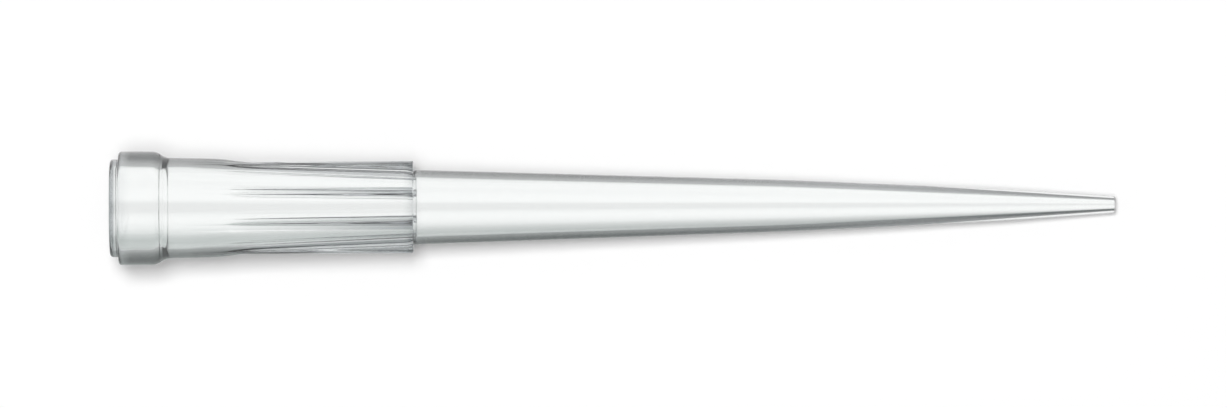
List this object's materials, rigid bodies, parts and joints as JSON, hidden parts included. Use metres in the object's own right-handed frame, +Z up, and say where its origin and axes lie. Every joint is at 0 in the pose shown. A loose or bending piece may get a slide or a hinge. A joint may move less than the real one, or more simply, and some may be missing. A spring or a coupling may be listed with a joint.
{
  "type": "pipette tip",
  "caption": "Clear disposable pipette tip: a long hollow cone with a collared push-on mouth, straight ribs on its upper body and a fine open point.",
  "frame": {"origin": "on the bench, under the middle of the bounding box of the tip as it lies", "axes": "+X runs along the tip from the mouth towards the point, +Y across it, +Z up from the bench; the tip's own axis slopes 2.91 degrees down towards the point"},
  "size_m": [0.053, 0.006, 0.0062],
  "materials": {
    "clear_polypropylene": "clear, slightly hazy moulded polypropylene with a smooth gloss"
  },
  "bodies": {
    "root": {"pipette_tip": "clear_polypropylene"}
  },
  "joints": []
}
